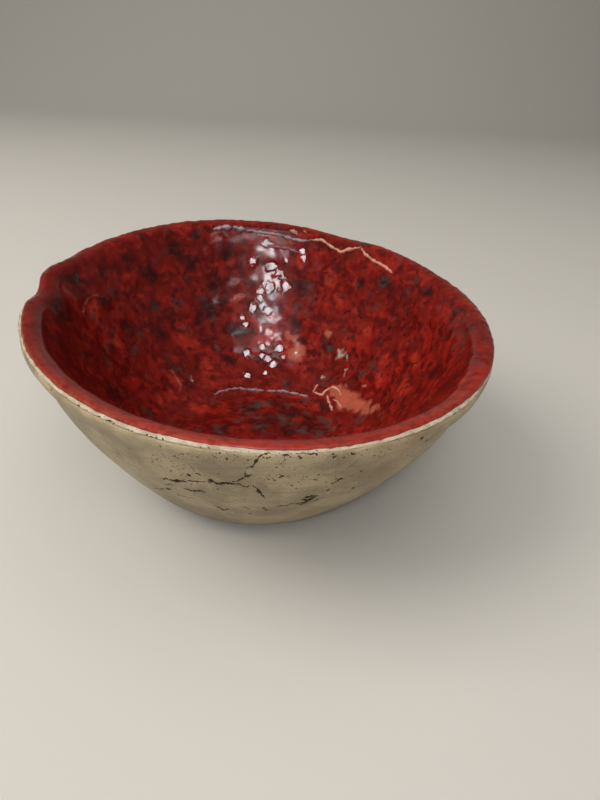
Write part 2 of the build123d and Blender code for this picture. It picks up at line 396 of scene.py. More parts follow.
class Skin:
    """The bowl's finished surface, read off the CAD nodes as smooth section lines from
    the foot up the outside, over the lip and down the inside to the middle of the floor.
    A place on it is an angle round the turn and a length along the section."""

    def __init__(self):
        self.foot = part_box("sigillata_coat")[0].z
        self.reach = max(cad_high.x, cad_high.y, -cad_low.x, -cad_low.y) + 5 * MM
        self.ceiling = cad_high.z + 10 * MM
        counts = (ROWS_OUTSIDE, ROWS_LIP, ROWS_INSIDE, ROWS_FLOOR)
        lines, lengths = [], []
        for index in range(SECTION_LINES):
            angle = math.tau * index / SECTION_LINES
            rows = []
            for stretch, count in zip(self.stretches(angle), counts):
                spread, length = self.evened(stretch, count)
                rows.append(spread if not rows else spread[1:])
                lengths.append(length)
            lines.append(np.concatenate(rows))
        table = np.array(lines).transpose(1, 0, 2)
        self.table = self.smoothed(table)
        stretch_lengths = np.array(lengths).reshape(-1, len(counts)).mean(0)
        rows_at = np.cumsum([0] + [count - 1 for count in counts])
        ends = np.concatenate([[0], np.cumsum(stretch_lengths)])
        self.row_lengths = np.interp(np.arange(len(self.table)), rows_at, ends)
        self.lip_start, _, self.floor_start, self.length = ends[1:]

    def stretches(self, angle):
        """Points of one section line, radius and height, in four stretches."""
        out = Vector((math.cos(angle), math.sin(angle), 0))

        def first_hit(start, direction):
            hit = finished.ray_cast(start, direction)[0]
            return None if hit is None else (math.hypot(hit.x, hit.y), hit.z)

        def from_outside(height):
            return first_hit(out * self.reach + Vector((0, 0, height)), -out)

        def from_axis(height):
            return first_hit(Vector((0, 0, height)), out)

        def from_above(radius):
            return first_hit(out * radius + Vector((0, 0, self.ceiling)), Vector((0, 0, -1)))

        near_lip = np.arange(0.75 * self.reach, self.reach, MM)
        tops = [place[1] for place in map(from_above, near_lip) if place is not None]
        middle_height = max(tops) - LIP_DEPTH
        outer, inner = from_outside(middle_height), from_axis(middle_height)
        middle = (outer[0] + inner[0]) / 2
        heights = np.linspace(self.foot + 0.1 * MM, middle_height, RAYS_OUTSIDE)
        outside = [from_outside(z) for z in heights]
        lip = []
        for tilt in np.linspace(0, math.pi, RAYS_LIP):
            away = out * math.cos(tilt) + Vector((0, 0, math.sin(tilt)))
            centre = out * middle + Vector((0, 0, middle_height))
            lip.append(first_hit(centre + away * 20 * MM, -away))
        heights = np.linspace(middle_height, FLOOR_TURN_HEIGHT, RAYS_INSIDE)
        inside = [from_axis(z) for z in heights]
        radii = np.linspace(inside[-1][0], 0.05 * MM, RAYS_FLOOR)
        floor = [inside[-1]] + [from_above(radius) for radius in radii[1:]]
        return outside, lip, inside, floor

    def evened(self, stretch, count):
        """The stretch's points spread evenly along it, and its length."""
        points = np.array(stretch)
        steps = np.linalg.norm(np.diff(points, axis=0), axis=1)
        along = np.concatenate([[0], np.cumsum(steps)])
        spread = np.linspace(0, along[-1], count)
        columns = [np.interp(spread, along, points[:, axis]) for axis in (0, 1)]
        return np.stack(columns, axis=1), along[-1]

    def smoothed(self, table):
        """The table with the facets of the CAD mesh smoothed away."""
        for _ in range(2):
            table = (np.roll(table, 1, 1) + 2 * table + np.roll(table, -1, 1)) / 4
        for _ in range(3):
            inner = (table[:-2] + 2 * table[1:-1] + table[2:]) / 4
            table = np.concatenate([table[:1], inner, table[-1:]])
        return table

    def at(self, angles, along):
        """Places in space of angles round the turn and lengths along the section."""
        rows = np.interp(along, self.row_lengths, np.arange(len(self.table)))
        columns = (angles / math.tau % 1) * SECTION_LINES
        row, column = np.floor(rows).astype(int), np.floor(columns).astype(int)
        total = np.zeros((len(rows), 2))
        row_weights = self.weights(rows - row)
        column_weights = self.weights(columns - column)
        for step_row in range(4):
            across = np.clip(row + step_row - 1, 0, len(self.table) - 1)
            for step_column in range(4):
                around = (column + step_column - 1) % SECTION_LINES
                weight = row_weights[step_row] * column_weights[step_column]
                total += self.table[across, around] * weight[:, None]
        return round_axis(total[:, 0], angles, total[:, 1])

    def weights(self, part):
        """Weights of the four neighbours of a place, for a smooth blend between rows."""
        squared, cubed = part**2, part**3
        return (
            (-part + 2 * squared - cubed) / 2,
            (2 - 5 * squared + 3 * cubed) / 2,
            (part + 4 * squared - 3 * cubed) / 2,
            (cubed - squared) / 2,
        )

    def normals(self, angles, along):
        """Directions out of the bowl's surface."""
        turn, slide = 0.004, 0.4 * MM
        around = self.at(angles + turn, along) - self.at(angles - turn, along)
        upward = self.at(angles, along + slide) - self.at(angles, along - slide)
        normal = np.cross(around, upward)
        length = np.linalg.norm(normal, axis=1, keepdims=True)
        up = np.array([0.0, 0.0, 1.0])
        return np.where(length > 1e-12, normal / np.maximum(length, 1e-12), up)


skin = Skin()


def traced(pixels, jog, random):
    """Places on the bowl along a line of pixels, with small uneven jogs."""
    points, spacing_px = [], 0.4
    for start, end in zip(pixels, pixels[1:]):
        steps = max(2, int(math.dist(start, end) / spacing_px))
        for step in range(steps):
            share = step / steps
            points.append([start[axis] + share * (end[axis] - start[axis]) for axis in (0, 1)])
    points = np.array(points + [pixels[-1]], float)
    jogs = random.normal(0, jog, points.shape)
    for _ in range(2):
        jogs[1:-1] = (jogs[:-2] + jogs[1:-1] + jogs[2:]) / 3
    places = [seen_at(point) for point in points + jogs]
    return [place for place in places if place is not None]


class Lines:
    """Lines over the bowl, kept as close places that each carry some values."""

    def __init__(self):
        self.places, self.values = [], []

    def add(self, places, *values):
        """Adds a line whose values each have one number for each place."""
        self.places += list(places)
        self.values += list(zip(*values))

    def settle(self):
        self.tree = tree_of(self.places)

    def reach(self, points):
        """How near each point is to any line."""
        return self.nearest(points)[0]

    def nearest(self, points):
        """Distance to the nearest line, and its values there, one row each."""
        rows = []
        for point in points:
            _, index, distance = self.tree.find(point)
            rows.append((distance, *self.values[index]))
        return np.array(rows).T


def uneven(count, amount, random):
    """Numbers about 1 that swell and shrink along a line, and taper at its ends."""
    swell = np.convolve(random.normal(0, 1, count + 8), np.ones(9) / 3, "same")[4:-4]
    share = np.arange(count) / max(1, count - 1)
    taper = np.clip(6 * np.minimum(share, 1 - share), 0, 1) ** 0.5
    return np.maximum(0.15, (0.25 + 0.75 * taper) * (1 + amount * swell))


class Damage:
    """The cracks and pits in the outer slip, as carved depth and dark stain."""

    def __init__(self):
        random = np.random.RandomState(11)
        self.cracks = Lines()
        for pixels, width, depth in CRACKS_PX:
            self.add_crack(traced(pixels, 0.7, random), width * MM, depth * MM, random)
        for _ in range(UNSEEN_CRACKS):
            width = random.uniform(0.30, 0.85) * MM
            self.add_crack(self.wandering(random), width, 0.8 * width, random)
        self.cracks.settle()
        self.pits = []
        for *pixel, radius, depth in PITS_PX:
            self.add_pit(seen_at(pixel), radius * MM, depth * MM)
        for middle, half_sizes, count in PIT_CLUSTERS_PX:
            for _ in range(count):
                offset = random.normal(0, 0.6, 2) * half_sizes
                self.add_small_pit(seen_at((middle[0] + offset[0], middle[1] + offset[1])), random)
        for _ in range(UNSEEN_PITS):
            self.add_unseen_pits(1, random)
        for _ in range(UNSEEN_CLUSTERS):
            self.add_unseen_pits(random.randint(8, 20), random)

    def wandering(self, random):
        """A crack that wanders over the side or back of the bowl."""
        angle = math.radians(random.uniform(-50, 230))
        along = random.uniform(0.12, 0.85) * skin.lip_start
        heading = random.normal(0, 0.35) + (math.pi if random.rand() < 0.5 else 0)
        step, mean_radius = 0.3 * MM, 75 * MM
        angles, alongs = [], []
        for _ in range(random.randint(20, 90)):
            heading += random.normal(0, 0.22)
            angle += step * math.cos(heading) / mean_radius
            along += step * math.sin(heading)
            angles.append(angle)
            alongs.append(min(max(along, DAMAGE_START), skin.lip_start))
        return skin.at(np.array(angles), np.array(alongs))

    def add_crack(self, places, width, depth, random):
        size = uneven(len(places), 0.35, random)
        self.cracks.add(places, width * size, depth * np.minimum(1, size))

    def add_pit(self, place, radius, depth):
        if place is not None:
            self.pits.append((place, radius, depth))

    def add_unseen_pits(self, count, random):
        """Small pits close together, somewhere on the side or back of the bowl."""
        angle = math.radians(random.uniform(-60, 240))
        along = random.uniform(0.08, 0.97) * skin.lip_start
        angles = angle + random.normal(0, 0.08, count) * (count > 1)
        alongs = along + random.normal(0, 4 * MM, count) * (count > 1)
        alongs = np.clip(alongs, DAMAGE_START, skin.lip_start)
        for place in skin.at(angles, alongs):
            self.add_small_pit(place, random)

    def add_small_pit(self, place, random):
        radius = min(0.13 + random.exponential(0.06), 0.4) * MM
        self.add_pit(place, radius, 0.9 * radius)

    def pit_hits(self, points, margin, spare=0.0):
        """For each pit, the points near it and their distances, with its size."""
        tree = tree_of(points)
        for place, radius, depth in self.pits:
            hits = tree.find_range(place, 2 * radius + margin)
            if hits:
                close = np.array([index for _, index, _ in hits])
                distance = np.array([distance for _, _, distance in hits])
                yield close, distance - spare, radius, depth

    def reach(self, points):
        """How near each point is to any damage, from the edge of it."""
        distance, width, _ = self.cracks.nearest(points)
        nearest = distance - width / 2
        for close, distance, radius, _ in self.pit_hits(points, 2 * MM):
            nearest[close] = np.minimum(nearest[close], distance - radius + PIT_SLACK)
        return nearest

    def carved(self, points, spare=0.0):
        """Depth of the carving at each point, made spare wider for what lies under it."""
        distance, width, depth = self.cracks.nearest(points)
        ragged = 1 + 0.45 * noise(points, 0.7 * MM, 5)
        across = (distance - spare) / (width / 2 * ragged)
        carved = depth * (1 - smooth_step(across, 0.4, 1.3))
        stain = 1 - smooth_step(across, 0.6, 1.5)
        for close, distance, radius, deep in self.pit_hits(points, spare, spare):
            across = distance / (radius * ragged[close])
            carved[close] = np.maximum(carved[close], deep * (1 - smooth_step(across, 0.3, 1.15)))
            stain[close] = np.maximum(stain[close], 1 - smooth_step(across, 0.6, 1.35))
        return carved, stain


damage = Damage()


def stitched(counts):
    """Triangles between rings of evenly spaced points, one after the other, whatever
    the number of points on each."""
    faces, start = [], 0
    for lower, upper in zip(counts, counts[1:]):
        here, there, above = 0, 0, start + lower
        while here < lower or there < upper:
            if there >= upper or (here < lower and (here + 1) * upper <= (there + 1) * lower):
                faces.append((start + here, start + (here + 1) % lower, above + there % upper))
                here += 1
            else:
                faces.append((start + here % lower, above + (there + 1) % upper, above + there))
                there += 1
        start += lower
    return faces


def ring_counts(row_lengths, spacing):
    """Points on each ring, so that they lie about spacing apart."""
    angles = np.linspace(0, math.tau, MEASURED_TURNS, endpoint=False)
    counts = []
    for along in row_lengths:
        places = skin.at(angles, np.full(MEASURED_TURNS, along))
        radius = np.linalg.norm(places[:, :2], axis=1).mean()
        counts.append(max(6, round(math.tau * radius / spacing)))
    return counts


class Layer:
    """A closed coat between two borders on the bowl's skin. A place in it is an angle
    and a share from its first border to its second."""

    # The radius of the hole in the layer when it is laid out flat
    HOLE = 60 * MM

    def __init__(self, first, second):
        self.first, self.second = first, second
        zero = np.zeros(1)
        self.start = float(first(zero)[0])
        self.span = float(second(zero)[0]) - self.start

    def along(self, angles, shares):
        return self.first(angles) + shares * (self.second(angles) - self.first(angles))

    def rings(self, rows, spacing):
        """Angle and share of each point of the rings, and the number on each."""
        shares = np.linspace(0, 1, rows)
        counts = ring_counts(self.start + shares * self.span, spacing)
        return turns(counts), np.repeat(shares, counts), counts

    def flat(self, angles, shares):
        """The layer laid out flat as a ring, where refining has no seam to cross."""
        radius = self.HOLE + shares * self.span
        return np.stack([radius * np.cos(angles), radius * np.sin(angles)], axis=1)

    def unflat(self, flat):
        """The angles and shares of places in the flat ring."""
        radius = np.hypot(flat[:, 0], flat[:, 1])
        shares = np.clip((radius - self.HOLE) / self.span, 0, 1)
        return np.arctan2(flat[:, 1], flat[:, 0]) % math.tau, shares

    def refined(self, angles, shares, faces, reach_of, reaches):
        """The same surface with finer triangles wherever a detail is in reach."""
        grid = bmesh.new()
        flat = self.flat(angles, shares)
        corners = [grid.verts.new((x, y, 0)) for x, y in flat]
        for face in faces:
            grid.faces.new([corners[index] for index in face])
        for reach in reaches:
            flat = np.array([corner.co[:2] for corner in grid.verts])
            angles, shares = self.unflat(flat)
            places = skin.at(angles, self.along(angles, shares))
            near = reach_of(places) < reach
            near &= (shares > 0.004) & (shares < 0.996)
            grid.verts.index_update()
            edges = set()
            for face in grid.faces:
                if any(near[corner.index] for corner in face.verts):
                    edges.update(face.edges)
            border = [edge for edge in edges if edge.is_boundary]
            chosen = list(edges.difference(border))
            bmesh.ops.subdivide_edges(grid, edges=chosen, cuts=1, use_grid_fill=True)
        bmesh.ops.triangulate(grid, faces=grid.faces[:])
        grid.verts.index_update()
        flat = np.array([corner.co[:2] for corner in grid.verts])
        faces = [tuple(corner.index for corner in face.verts) for face in grid.faces]
        grid.free()
        angles, shares = self.unflat(flat)
        return angles, shares, faces


def build_piece(name, points, faces, attributes):
    """A smooth mesh object with its painted values at its corners."""
    mesh = bpy.data.meshes.new(name)
    mesh.from_pydata([tuple(point) for point in points], [], faces)
    mesh.update()
    mesh.shade_smooth()
    for label, values in attributes.items():
        layer = mesh.attributes.new(label, "FLOAT", "POINT")
        layer.data.foreach_set("value", np.asarray(values, np.float32))
    piece = bpy.data.objects.new(name, mesh)
    bpy.context.scene.collection.objects.link(piece)
    return piece


def closed_layer(name, layer, rows, spacing, top, under, reach_of=None, reaches=(), tip=False):
    """A closed coat: a fine outer side and a plain hidden side that meet at the borders,
    or at the first border only, where the second is a tip in the middle of the floor."""
    angles, shares, counts = layer.rings(rows, spacing)
    faces = stitched(counts)
    if reaches:
        angles, shares, faces = layer.refined(angles, shares, faces, reach_of, reaches)
    along = layer.along(angles, shares)
    places, normals = skin.at(angles, along), skin.normals(angles, along)
    heights, attributes = top(places, angles, along)
    points = places + normals * heights[:, None]

    under_shares = np.linspace(0, 1, UNDER_ROWS)[1:None if tip else -1]
    under_counts = ring_counts(layer.start + under_shares * layer.span, UNDER_SPACING * spacing)
    under_angles = turns(under_counts)
    under_along = layer.along(under_angles, np.repeat(under_shares, under_counts))
    under_places = skin.at(under_angles, under_along)
    under_heights = under(under_places)
    under_points = under_places + skin.normals(under_angles, under_along) * under_heights[:, None]

    last_start, start, under_total = sum(counts[:-1]), len(points), sum(under_counts)
    points = np.concatenate([points, under_points])
    last_ring = list(range(last_start, last_start + counts[-1]))
    ring_index = list(range(counts[0])) + list(range(start, start + under_total))
    under_faces = stitched([counts[0]] + under_counts + ([] if tip else [counts[-1]]))
    if tip:
        faces = list(faces) + [tuple(last_ring), tuple(reversed(ring_index[-under_counts[-1]:]))]
    else:
        ring_index += last_ring
    faces = list(faces) + [tuple(ring_index[i] for i in reversed(face)) for face in under_faces]
    for label in attributes:
        attributes[label] = np.concatenate([attributes[label], np.zeros(len(under_points))])
    return build_piece(name, points, faces, attributes)


def band_edge(angles, column, seed):
    """One edge of the cream band, from the table, with a ragged waver."""
    degrees = np.degrees(angles) % 360
    table = np.array(BAND_EDGES)
    edge = np.interp(degrees, table[:, 0], table[:, column], period=360)
    width = np.interp(degrees, table[:, 0], table[:, 2] - table[:, 1], period=360)
    round_turn = round_axis(1, angles, 0 * angles)
    waver = 0.22 * noise(round_turn, 0.028, seed) + 0.25 * noise(round_turn, 0.07, seed + 1)
    waver += 0.18 * noise(round_turn, 0.2, seed + 2)
    return skin.lip_start + (edge + waver * np.minimum(1, width)) * MM


def band_low(angles):
    """Where the cream band begins, a little past the lip's outer edge."""
    return band_edge(angles, 1, 21)


def band_high(angles):
    """Where the red glaze covers the cream band."""
    return np.maximum(band_edge(angles, 2, 25), band_low(angles) + 0.1 * MM)


def lip_bumps(places, along):
    """Small bumps that make the lip's edge uneven, least in front."""
    near = bell(along - skin.lip_start, 4.4 * MM, 2.8 * MM)
    behind = smooth_step(places[:, 1] / np.hypot(places[:, 0], places[:, 1]), -0.7, -0.1)
    uneven_edge = bumps(places, (0.40, 3.6, 35), (0.22, 9, 37), (0.12, 1.8, 36))
    return near * (0.3 + 0.7 * behind) * uneven_edge * MM


def make_coat():
    """The pale slip outside, with its cracks, gouge and pits."""
    layer = Layer(lambda angles: 0 * angles, lambda angles: band_low(angles) + COAT_OVERLAP)

    def top(places, angles, along):
        carved, stain = damage.carved(places)
        relief = bumps(places, (0.16, 14, 31), (0.05, 4, 32), (0.02, 1.6, 33))
        end = layer.along(angles, 1)
        foot_edge = 1 - smooth_step(along, 0, 1.1 * MM)
        edge = np.maximum(foot_edge, smooth_step(along, end - 0.6 * MM, end))
        heights = relief * MM * (1 - edge) - carved - edge * COAT_THICKNESS
        heights += lip_bumps(places, along)
        blush = bell(distances_from(seen_at(BLUSH_PX[0]), places), 0, BLUSH_PX[1] * MM)
        away = distances_from(seen_at(CHIP_PX[0]), places) / (CHIP_PX[1] * MM)
        chip = 1 - smooth_step(away, 0.75, 1.1)
        heights += 0.12 * MM * chip
        return heights, {"stain": stain, "blush": blush, "chip": chip}

    def under(places):
        carved, _ = damage.carved(places, COAT_SPARE)
        return -(COAT_THICKNESS + COAT_SINK + carved)

    rows, spacing = 68, 1.40 * MM
    reaches = (0.9 * MM, 0.5 * MM, 0.28 * MM)
    return closed_layer("sigillata_slip_coat", layer, rows, spacing, top, under, damage.reach, reaches)


def make_band():
    """The cream slip along the lip's outer edge, with dark specks bitten out of it."""
    layer = Layer(band_low, lambda angles: band_high(angles) + BAND_OVERLAP)

    def top(places, angles, along):
        carved, stain = damage.carved(places)
        width = layer.second(angles) - layer.first(angles)
        share = (along - layer.first(angles)) / width
        round_over = np.sqrt(np.clip(1 - (2 * share - 1) ** 4, 0, 1))
        lumps = bumps(places, (0.09, 2.2, 41), (0.05, 1.0, 42))
        low_edge = 0.25 * (1 - smooth_step(share, 0.1, 0.55))
        bites = bumps(places, (1, 0.75, 43), (0.25, 6, 44)) + low_edge
        bites = smooth_step(bites, 0.53, 0.70)
        thick = smooth_step(width - BAND_OVERLAP, 0.2 * MM, 1.0 * MM)
        heights = thick * (0.24 * round_over + lumps - 0.10) * MM - (1 - thick) * 0.22 * MM
        heights += lip_bumps(places, along) - 0.18 * MM * bites - carved
        return heights, {"stain": np.maximum(stain, bites)}

    def under(places):
        return np.full(len(places), -0.75 * MM)

    rows, spacing = 11, 0.36 * MM
    return closed_layer("cream_rim_slip", layer, rows, spacing, top, under)


def glaze_marks(places):
    """The glaze's pale patch, green spot, dark places, which are partly painted shade, and swellings,
    as painted values.
    """
    warp = [bumps(places, (3.2, 6, seed), (1.3, 2.4, seed + 3)) for seed in (61, 62, 63)]
    warped = places + np.stack(warp, axis=1) * MM
    marks = {}
    spots_by_label = {
        "patch": PALE_PATCH_PX,
        "green": GREEN_SPOT_PX,
        "blotch": BLOTCHES_PX,
        "dark": DARK_CLOTS_AND_SHADE_PX,
        "swelling": GLAZE_SWELLINGS_PX,
    }
    for label, spots in spots_by_label.items():
        sharp = 0.75 if label == "patch" else 0.3
        value = np.zeros(len(places))
        for *pixel, radius in spots:
            away = distances_from(seen_at(pixel), warped) / (radius * MM)
            value = np.maximum(value, 1 - smooth_step(away, sharp, 1.2))
        marks[label] = value
    return marks


def lip_marks(angles, inward):
    """Where the glaze near the lip is thin, shaded, plain, worn or rosy."""
    front = smooth_step(-np.sin(angles), 0.35, 0.80)
    left = smooth_step(-np.cos(angles - math.radians(20)), 0.45, 0.9)
    near_lip = 1 - smooth_step(inward, 9 * MM, 14 * MM)
    shade = 0.4 + 0.5 * smooth_step(inward, 3.5 * MM, 6.5 * MM)
    return {
        "thin": bell((inward - 2.2 * MM).clip(0), 0, 2.8 * MM) * (0.35 + 0.65 * front),
        "shade": left * near_lip * shade,
        "plain": smooth_step(-np.cos(angles), 0.25, 0.85),
        "worn": bell(inward, 0, 1.1 * MM),
        "rosy": bell(np.degrees(angles), 236, 20) * bell(inward, 1.0 * MM, 2.4 * MM),
    }


def glaze_ridges():
    """The raised lines in the glaze: half width, height, peach, and grey painted highlight at each
    place.
    """
    random = np.random.RandomState(29)
    lines = Lines()
    for pixels, half_width, height, peach, grey in GLAZE_RIDGES_PX:
        places = traced(pixels, 0.5, random)
        size = uneven(len(places), 0.25, random)
        worn = np.minimum(1, size)
        lines.add(places, half_width * MM * size, height * MM * size, peach * worn, grey * worn)
    lines.settle()
    return lines


def glint_reach(places):
    """How near each place is to a flat that mirrors the lamp, from the edge of it."""
    nearest = np.full(len(places), np.inf)
    for *pixel, half_width in GLINTS_PX:
        nearest = np.minimum(nearest, distances_from(seen_at(pixel), places) - half_width * MM)
    return nearest


def away_from_glints(places):
    """From 0 beside the column of flats to 1 well away from it."""
    away = [distances_from(seen_at(pixel), places) for pixel in GLINT_COLUMN_PX]
    return smooth_step(np.min(away, axis=0), 8 * MM, 20 * MM)


def with_glints(heights, places, angles, along):
    """The relief with small flats let into it, each turned to mirror the lamp."""
    ragged = 1.15 + 0.75 * noise(places, 2.2 * MM, 66)
    for *pixel, half_width in GLINTS_PX:
        middle = seen_at(pixel)
        to_camera, to_lamp = CAMERA_PLACE - Vector(middle), WINDOW_PLACE - Vector(middle)
        facing = np.array((to_camera.normalized() + to_lamp.normalized()).normalized())
        distance = distances_from(middle, places) / (half_width * ragged * MM)
        close = np.flatnonzero(distance < GLINT_FADE[1])
        normals = skin.normals(angles[close], along[close])
        offsets = places[close] - middle
        flat = GLINT_RISE - offsets @ facing / (normals @ facing)
        flat -= np.sum(offsets**2, axis=1) / (2 * GLINT_DOME_RADIUS)
        flat = np.maximum(flat, -GLINT_DEPTH)
        share = 1 - smooth_step(distance[close], *GLINT_FADE)
        heights[close] += share * (flat - heights[close])
    return heights


def glaze_relief(places, along, inward, swelling):
    """The glaze's lumps, swellings and curtains that ran down the wall, calmer near the
    lip and the flats, and the edge that it rolled up at the lip."""
    lumps = bumps(places, (0.55, 9, 51), (0.32, 5.6, 52), (0.03, 2.8, 53))
    curtains = bumps(places * np.array([1.0, 1.0, 0.3]), (0.12, 7, 54))
    calm = 0.25 + 0.75 * smooth_step(inward, 7 * MM, 17 * MM)
    calm *= 0.35 + 0.65 * away_from_glints(places)
    rolled = 0.30 * bell(inward, 1.6 * MM, 1.3 * MM)
    relief = np.maximum((lumps + curtains) * calm, -0.45) + rolled
    edge = 1 - np.sqrt(np.clip(1 - (1 - inward / (0.9 * MM)).clip(0, 1) ** 2, 0, 1))
    heights = relief * MM * (1 - edge) - edge * 0.25 * MM
    heights += swelling * 0.32 * MM + lip_bumps(places, along) * (1 - edge)
    return heights


def make_glaze():
    """The thick red glaze: lumps, curtains that ran down the wall, and a rolled edge."""
    layer = Layer(band_high, lambda angles: 0 * angles + skin.length - 0.4 * MM)
    ridges = glaze_ridges()

    def top(places, angles, along):
        inward = along - layer.first(angles)
        marks = glaze_marks(places)
        heights = glaze_relief(places, along, inward, marks["swelling"])
        heights = with_glints(heights, places, angles, along)
        distance, half_width, height, peach, grey = ridges.nearest(places)
        heights += bell(distance, 0, half_width) * height
        on_line = 1 - smooth_step(distance / half_width, 0.5, 1.5)
        marks["vein"] = peach * on_line
        # A pale grey painted highlight along the ridges, standing in for the lamps' reflection on them
        marks["painted_highlight"] = grey * on_line
        marks.update(lip_marks(angles, inward))
        return heights, marks

    def under(places):
        return np.full(len(places), -GLAZE_THICKNESS)

    def reach(places):
        return np.minimum(ridges.reach(places), glint_reach(places))

    rows, spacing = 150, 1.0 * MM
    reaches = (1.6 * MM, 0.9 * MM)
    return closed_layer("red_glaze_lining", layer, rows, spacing, top, under, reach, reaches, tip=True)


def make_wall():
    """The clay wall inside the coats, carved where the cracks and the gouge reach it."""
    low, count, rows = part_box("wall")[0].z, 360, 120
    outside = skin.row_lengths[:ROWS_OUTSIDE - 10]
    outer = np.interp(low, skin.at(0 * outside, outside)[:, 2], outside)
    alongs = np.repeat(np.linspace(outer, skin.floor_start + 4 * MM, rows), count)
    angles = np.tile(turns([count]), rows)
    places = skin.at(angles, alongs)
    carved, _ = damage.carved(places, WALL_SPARE)
    outer_depth = COAT_THICKNESS + WALL_SINK + carved
    depth = np.where(alongs < skin.lip_start, outer_depth, GLAZE_THICKNESS + WALL_SINK_INSIDE)
    points = places - skin.normals(angles, alongs) * depth[:, None]
    points[:, 2] = np.maximum(points[:, 2], low)
    inner_edge = points[-count:].copy()
    inner_edge[:, 2] = low
    points = np.concatenate([points, inner_edge])
    faces = stitched([count] * (rows + 1))
    back = list(range(rows * count, (rows + 1) * count)) + list(range(count))
    faces += [tuple(back[index] for index in face) for face in stitched([count, count])]
    return build_piece("clay_wall", points, faces, {})


def flat_ring(radius, count, height=0.0):
    """Points evenly round a level circle."""
    angles = turns([count])
    return round_axis(radius, angles, 0 * angles + height)


def underside_ring(radius, count):
    """A ring of the foot's underside, which is hollowed, and rough but for its edge."""
    ring = flat_ring(radius, count)
    inside = 1 - smooth_step(radius, 42 * MM, 48 * MM)
    hollow = 0.30 * (1 - smooth_step(radius, 22 * MM, 44 * MM))
    rough = bumps(ring, (0.10, 7, 71), (0.05, 1.8, 72))
    ring[:, 2] = np.maximum(hollow + rough * inside, 0) * MM
    return ring


def side_ring(slab, height, inset, count):
    """A ring round the slab at a height, drawn in a little from its side."""
    ring = flat_ring(1.0, count)
    for index, direction in enumerate(ring):
        out = Vector(direction)
        hit = slab.ray_cast(out * skin.reach + Vector((0, 0, height)), -out)[0]
        ring[index] = out * (math.hypot(hit.x, hit.y) - inset)
    ring[:, 2] = height
    return ring


def make_foot():
    """The clay slab that the bowl stands on, with a hollowed and slightly worn underside."""
    slab = joined_tree(["base_slab"])
    top, count, radius_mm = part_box("base_slab")[1].z, 300, 50
    radii = np.linspace(0.6 * MM, 49.5 * MM, 44)
    counts = [max(6, round(math.tau * radius / (1.5 * MM))) for radius in radii[:-1]] + [count]
    rings = [underside_ring(*size) for size in zip(radii, counts)]
    for height, inset in FOOT_SIDE + [(top / MM - 0.02, 1.4)]:
        ring = side_ring(slab, height * MM, inset * MM, count)
        if 0.2 < height < 1.3:
            ring[:, :2] *= 1 + bumps(ring, (0.10, 3, 73))[:, None] / radius_mm
        rings.append(ring)
    for radius, ring_count in ((30 * MM, 60), (4 * MM, 12)):
        rings.append(flat_ring(radius, ring_count, top - 0.02 * MM))
    counts = [len(ring) for ring in rings]
    faces = stitched(counts) + [tuple(reversed(range(counts[0])))]
    faces.append(tuple(range(sum(counts) - counts[-1], sum(counts))))
    return build_piece("clay_foot", np.concatenate(rings), faces, {})


